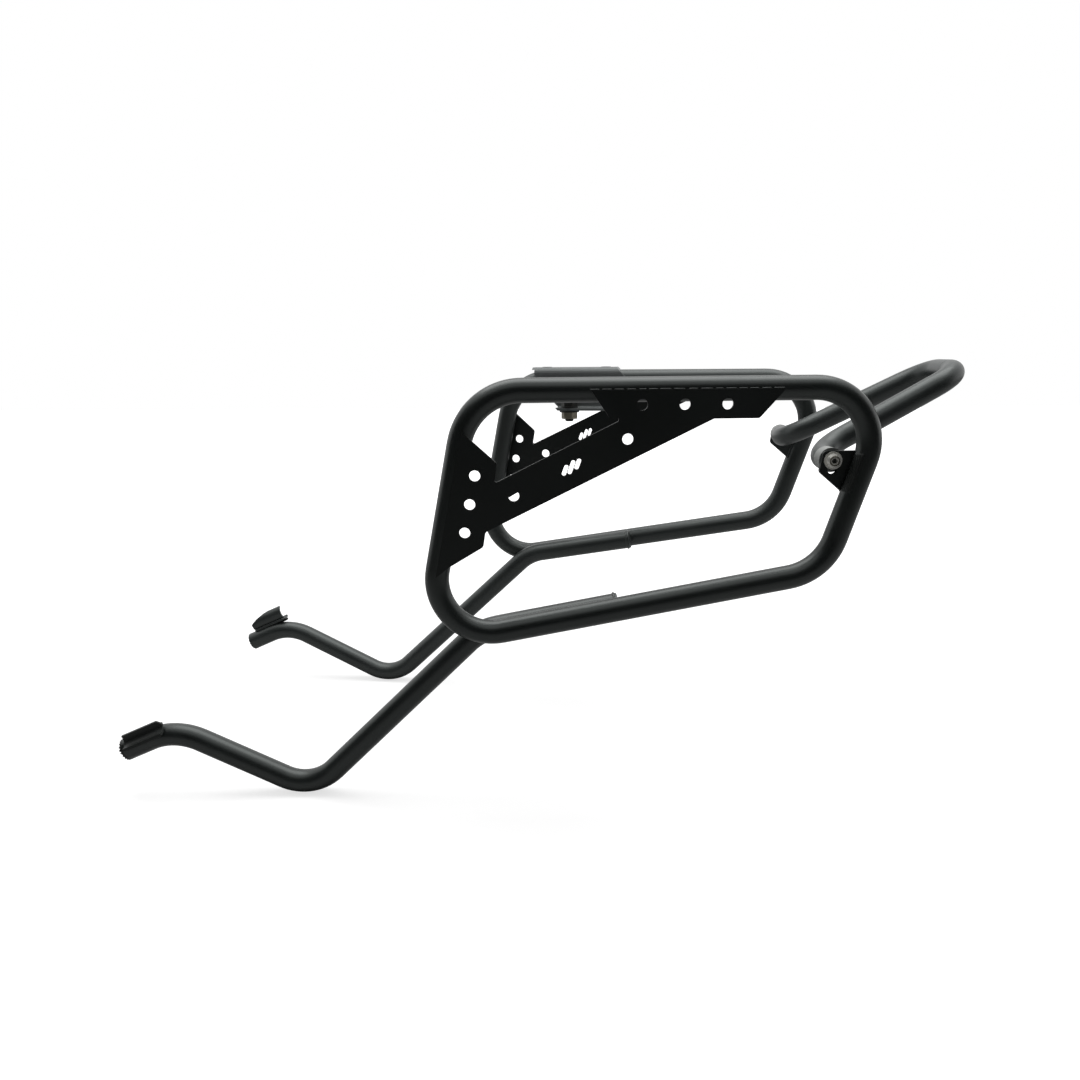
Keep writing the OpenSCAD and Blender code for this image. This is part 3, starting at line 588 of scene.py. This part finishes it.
def whiteForCamera(tree, other, output):
    # camera, glossy and transmission rays see plain white; the rest see the fill light
    path = tree.nodes.new("ShaderNodeLightPath")
    white = tree.nodes.new("ShaderNodeBackground")
    white.inputs["Color"].default_value = (1, 1, 1, 1)
    white.inputs["Strength"].default_value = 1
    first = tree.nodes.new("ShaderNodeMath")
    first.operation = "MAXIMUM"
    second = tree.nodes.new("ShaderNodeMath")
    second.operation = "MAXIMUM"
    mix = tree.nodes.new("ShaderNodeMixShader")
    tree.links.new(path.outputs["Is Camera Ray"], first.inputs[0])
    tree.links.new(path.outputs["Is Glossy Ray"], first.inputs[1])
    tree.links.new(first.outputs[0], second.inputs[0])
    tree.links.new(path.outputs["Is Transmission Ray"], second.inputs[1])
    tree.links.new(second.outputs[0], mix.inputs["Fac"])
    tree.links.new(other.outputs[0], mix.inputs[1])
    tree.links.new(white.outputs[0], mix.inputs[2])
    tree.links.new(mix.outputs[0], output.inputs["Surface"])


def makeFlag():
    # a black card curved round behind the camera, so that the coats have something dark to mirror
    f = studio["flag"]
    bm = bmesh.new()
    half = math.radians(f["spread"] / 2)
    start = Vector((-f["radius"] * math.sin(half), -f["radius"] * math.cos(half), cadBox[0][2]))
    foot = bmesh.ops.create_vert(bm, co=start)["vert"]
    bmesh.ops.spin(bm, geom=foot, axis=(0, 0, 1), cent=(0, 0, 0), angle=half * 2, steps=f["steps"])
    rise = bmesh.ops.extrude_edge_only(bm, edges=list(bm.edges))
    top = [g for g in rise["geom"] if isinstance(g, bmesh.types.BMVert)]
    bmesh.ops.translate(bm, verts=top, vec=(0, 0, f["top"] - cadBox[0][2]))
    mesh = bpy.data.meshes.new("flag")
    bm.to_mesh(mesh)
    bm.free()
    flag = bpy.data.objects.new("flag", mesh)
    flag.visible_camera = False
    bpy.context.scene.collection.objects.link(flag)
    mat, tree, bsdf = newMaterial("blackCard")
    bsdf.inputs["Base Color"].default_value = (f["tone"], f["tone"], f["tone"], 1)
    bsdf.inputs["Roughness"].default_value = 1
    bsdf.inputs["Specular IOR Level"].default_value = 0
    mesh.materials.append(mat)


def makeWorld():
    world = bpy.data.worlds.new("studio")
    bpy.context.scene.world = world
    world.use_nodes = True
    tree = world.node_tree
    fill = tree.nodes["Background"]
    fill.inputs["Color"].default_value = (1, 1, 1, 1)
    fill.inputs["Strength"].default_value = studio["fill"]
    whiteForCamera(tree, fill, tree.nodes["World Output"])


def makeFloor():
    f = studio["floor"]
    bm = bmesh.new()
    bmesh.ops.create_grid(bm, x_segments=1, y_segments=1, size=f["half"])
    bmesh.ops.translate(bm, verts=bm.verts, vec=(0, 0, cadBox[0][2]))
    mesh = bpy.data.meshes.new("floor")
    bm.to_mesh(mesh)
    bm.free()
    floor = bpy.data.objects.new("floor", mesh)
    bpy.context.scene.collection.objects.link(floor)
    mat, tree, bsdf = newMaterial("paleFloor")
    bsdf.inputs["Base Color"].default_value = (f["tone"], f["tone"], f["tone"], 1)
    bsdf.inputs["Roughness"].default_value = f["rough"]
    bsdf.inputs["Specular IOR Level"].default_value = f["specular"]
    bsdf.inputs["Emission Color"].default_value = (1, 1, 1, 1)
    # it glows for the camera alone, more strongly away from the middle
    path = tree.nodes.new("ShaderNodeLightPath")
    coord = tree.nodes.new("ShaderNodeTexCoord")
    shrink = tree.nodes.new("ShaderNodeMapping")
    shrink.inputs["Scale"].default_value = (f["fade"], f["fade"], 0)
    ball = tree.nodes.new("ShaderNodeTexGradient")
    ball.gradient_type = "SPHERICAL"
    span = tree.nodes.new("ShaderNodeMapRange")
    span.inputs["To Min"].default_value = sum(f["glow"])
    span.inputs["To Max"].default_value = f["glow"][0]
    tree.links.new(coord.outputs["Object"], shrink.inputs["Vector"])
    tree.links.new(shrink.outputs["Vector"], ball.inputs["Vector"])
    tree.links.new(ball.outputs["Fac"], span.inputs["Value"])
    glow = tree.nodes.new("ShaderNodeMath")
    glow.operation = "MULTIPLY"
    tree.links.new(path.outputs["Is Camera Ray"], glow.inputs[0])
    tree.links.new(span.outputs["Result"], glow.inputs[1])
    tree.links.new(glow.outputs[0], bsdf.inputs["Emission Strength"])
    mesh.materials.append(mat)


def makeSoftbox():
    box = studio["softbox"]
    data = bpy.data.lights.new("topBox", "AREA")
    data.shape = "RECTANGLE"
    data.size, data.size_y = box["size"]
    data.energy = box["watts"]
    lamp = bpy.data.objects.new("topBox", data)
    lamp.location = box["place"]
    aim = Vector(box["target"]) - Vector(box["place"])
    lamp.rotation_euler = aim.to_track_quat("-Z", "Y").to_euler()
    bpy.context.scene.collection.objects.link(lamp)


makeWorld()
makeFloor()
makeSoftbox()
makeFlag()
print("studio set")

scene = bpy.context.scene
scene.view_settings.view_transform = "Standard"
